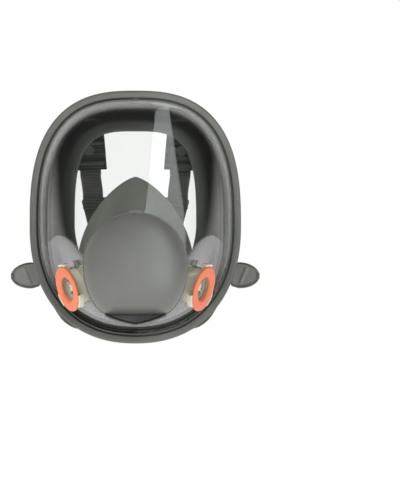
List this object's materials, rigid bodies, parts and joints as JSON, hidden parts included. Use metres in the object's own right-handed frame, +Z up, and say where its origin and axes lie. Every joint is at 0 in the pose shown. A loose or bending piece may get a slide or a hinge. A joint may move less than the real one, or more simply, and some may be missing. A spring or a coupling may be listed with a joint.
{
  "type": "full face respirator",
  "caption": "Full face respirator mask with a clear domed lens in a clamped frame, soft face seal, side filter ports, exhalation cover and strap harness.",
  "frame": {"origin": "centre of the space inside the face seal's lip, at the widest line's height plus 8 mm", "axes": "+Y towards the wearer, +Z up, +X to the right as seen from the front"},
  "size_m": [0.234, 0.2142, 0.229],
  "materials": {
    "seal_rubber": "satin black silicone",
    "clear_lens": "clear polished polycarbonate",
    "frame_plastic": "fine matte dark grey",
    "cover_plastic": "satin dark grey",
    "adapter_plastic": "matte black",
    "nose_cup_rubber": "satin dark grey",
    "port_plastic": "clear slightly yellow plastic",
    "gasket_rubber": "orange silicone",
    "flap_rubber": "thin translucent silicone",
    "spider_plastic": "amber plastic",
    "steel": "brushed",
    "buckle_plastic": "black moulded plastic",
    "lever_metal": "satin metal",
    "strap_rubber": "black ribbed rubber"
  },
  "bodies": {
    "mask": {"face_seal": "seal_rubber", "lens": "clear_lens", "lens_frame_upper": "frame_plastic", "lens_frame_lower": "frame_plastic", "frame_screw_left": "steel", "frame_screw_right": "steel", "frame_nut_left": "steel", "frame_nut_right": "steel", "bayonet_port_left": "port_plastic", "bayonet_port_right": "port_plastic", "inhalation_valve_seat_left": "port_plastic", "inhalation_valve_seat_right": "port_plastic", "inhalation_gasket_left": "gasket_rubber", "inhalation_gasket_right": "gasket_rubber", "center_adapter": "adapter_plastic", "adapter_lock_ring": "adapter_plastic", "nose_cup": "nose_cup_rubber", "nose_cup_valve_seat_left": "spider_plastic", "nose_cup_valve_seat_right": "spider_plastic", "exhalation_valve_seat": "adapter_plastic", "upper_stud_left": "steel", "upper_stud_right": "steel", "lower_stud_left": "steel", "lower_stud_right": "steel"},
    "inhalation_flap_left": {"inhalation_valve_left": "flap_rubber"},
    "nose_cup_flap_left": {"nose_cup_valve_left": "flap_rubber"},
    "upper_buckle_left_body": {"upper_buckle_left": "buckle_plastic"},
    "upper_buckle_lever_left_body": {"upper_buckle_lever_left": "lever_metal"},
    "lower_buckle_left_body": {"lower_buckle_left": "buckle_plastic"},
    "lower_buckle_lever_left_body": {"lower_buckle_lever_left": "lever_metal"},
    "upper_strap_end_left_body": {"upper_strap_end_left": "strap_rubber"},
    "inhalation_flap_right": {"inhalation_valve_right": "flap_rubber"},
    "nose_cup_flap_right": {"nose_cup_valve_right": "flap_rubber"},
    "upper_buckle_right_body": {"upper_buckle_right": "buckle_plastic"},
    "upper_buckle_lever_right_body": {"upper_buckle_lever_right": "lever_metal"},
    "lower_buckle_right_body": {"lower_buckle_right": "buckle_plastic"},
    "lower_buckle_lever_right_body": {"lower_buckle_lever_right": "lever_metal"},
    "upper_strap_end_right_body": {"upper_strap_end_right": "strap_rubber"},
    "exhalation_flap": {"exhalation_valve": "flap_rubber"},
    "cover": {"exhalation_cover": "cover_plastic"},
    "harness": {"head_cradle": "strap_rubber", "upper_strap_left": "strap_rubber", "upper_strap_right": "strap_rubber"},
    "lower_strap_left_body": {"lower_strap_left": "strap_rubber"},
    "lower_strap_end_left_body": {"lower_strap_end_left": "strap_rubber"},
    "lower_strap_right_body": {"lower_strap_right": "strap_rubber"},
    "lower_strap_end_right_body": {"lower_strap_end_right": "strap_rubber"}
  },
  "joints": [
    {"name": "inhalation_flap_left_lift", "type": "slide", "parent": "mask", "child": "inhalation_flap_left", "axis": [0.8597, 0.4398, 0.2599], "range_m": [0, 0.0015], "stiffness_N_per_m": 25},
    {"name": "nose_cup_flap_left_lift", "type": "slide", "parent": "mask", "child": "nose_cup_flap_left", "axis": [0.9147, 0.3232, -0.2427], "range_m": [0, 0.0012], "stiffness_N_per_m": 25},
    {"name": "upper_buckle_left_swivel", "type": "hinge", "parent": "mask", "child": "upper_buckle_left_body", "pos_m": [-0.04375, 0.02913, 0.06308], "axis": [0, 0.9798, 0.2002], "range_deg": [-5, 5]},
    {"name": "upper_buckle_lever_left_lift", "type": "hinge", "parent": "upper_buckle_left_body", "child": "upper_buckle_lever_left_body", "pos_m": [-0.04358, 0.03792, 0.0608], "axis": [-0.9991, 0.0084, -0.0413], "range_deg": [0, 35]},
    {"name": "lower_buckle_left_swivel", "type": "hinge", "parent": "mask", "child": "lower_buckle_left_body", "pos_m": [-0.07153, 0.01154, -0.05014], "axis": [0.2138, 0.9769, 0], "range_deg": [-5, 5]},
    {"name": "lower_buckle_lever_left_lift", "type": "hinge", "parent": "lower_buckle_left_body", "child": "lower_buckle_lever_left_body", "pos_m": [-0.07346, 0.0203, -0.05152], "axis": [-0.3377, 0.0739, 0.9384], "range_deg": [0, 35]},
    {"name": "inhalation_flap_right_lift", "type": "slide", "parent": "mask", "child": "inhalation_flap_right", "axis": [-0.8597, 0.4398, 0.2599], "range_m": [0, 0.0015], "stiffness_N_per_m": 25},
    {"name": "nose_cup_flap_right_lift", "type": "slide", "parent": "mask", "child": "nose_cup_flap_right", "axis": [-0.9147, 0.3232, -0.2427], "range_m": [0, 0.0012], "stiffness_N_per_m": 25},
    {"name": "upper_buckle_right_swivel", "type": "hinge", "parent": "mask", "child": "upper_buckle_right_body", "pos_m": [0.04375, 0.02913, 0.06308], "axis": [0, 0.9798, 0.2002], "range_deg": [-5, 5]},
    {"name": "upper_buckle_lever_right_lift", "type": "hinge", "parent": "upper_buckle_right_body", "child": "upper_buckle_lever_right_body", "pos_m": [0.04358, 0.03792, 0.0608], "axis": [-0.9991, -0.0084, 0.0413], "range_deg": [0, 35]},
    {"name": "lower_buckle_right_swivel", "type": "hinge", "parent": "mask", "child": "lower_buckle_right_body", "pos_m": [0.07153, 0.01154, -0.05014], "axis": [-0.2138, 0.9769, 0], "range_deg": [-5, 5]},
    {"name": "lower_buckle_lever_right_lift", "type": "hinge", "parent": "lower_buckle_right_body", "child": "lower_buckle_lever_right_body", "pos_m": [0.07346, 0.0203, -0.05152], "axis": [-0.3377, -0.0739, -0.9384], "range_deg": [0, 35]},
    {"name": "exhalation_flap_lift", "type": "slide", "parent": "mask", "child": "exhalation_flap", "axis": [0, -1, 0], "range_m": [0, 0.002], "stiffness_N_per_m": 25},
    {"name": "exhalation_cover_pull", "type": "slide", "parent": "mask", "child": "cover", "axis": [0, -1, 0], "range_m": [0, 0.035]},
    {"name": "harness_swing", "type": "hinge", "parent": "mask", "child": "harness", "pos_m": [0, 0.03552, 0.04879], "axis": [1, 0, 0], "range_deg": [-8, 18], "stiffness_Nm_per_rad": 0.6, "springref_deg": 1.72},
    {"name": "upper_strap_end_left_pull", "type": "slide", "parent": "harness", "child": "upper_strap_end_left_body", "axis": [0.0315, 0.8004, -0.5987], "range_m": [0, 0.02]},
    {"name": "lower_strap_left_swing", "type": "hinge", "parent": "mask", "child": "lower_strap_left_body", "pos_m": [-0.0835, 0.0295, -0.0565], "axis": [0.8893, -0.1412, 0.4351], "range_deg": [-12.5, 27.5]},
    {"name": "lower_strap_end_left_pull", "type": "slide", "parent": "mask", "child": "lower_strap_end_left_body", "axis": [-1, 0, 0], "range_m": [0, 0.02]},
    {"name": "upper_strap_end_right_pull", "type": "slide", "parent": "harness", "child": "upper_strap_end_right_body", "axis": [-0.0315, 0.8004, -0.5987], "range_m": [0, 0.02]},
    {"name": "lower_strap_right_swing", "type": "hinge", "parent": "mask", "child": "lower_strap_right_body", "pos_m": [0.0835, 0.0295, -0.0565], "axis": [0.8893, 0.1412, -0.4351], "range_deg": [-12.5, 27.5]},
    {"name": "lower_strap_end_right_pull", "type": "slide", "parent": "mask", "child": "lower_strap_end_right_body", "axis": [1, 0, 0], "range_m": [0, 0.02]}
  ],
  "couplings": [
    {"joint": "lower_strap_left_swing", "follows": "harness_swing", "ratio": 1.5},
    {"joint": "lower_strap_right_swing", "follows": "harness_swing", "ratio": 1.5}
  ]
}
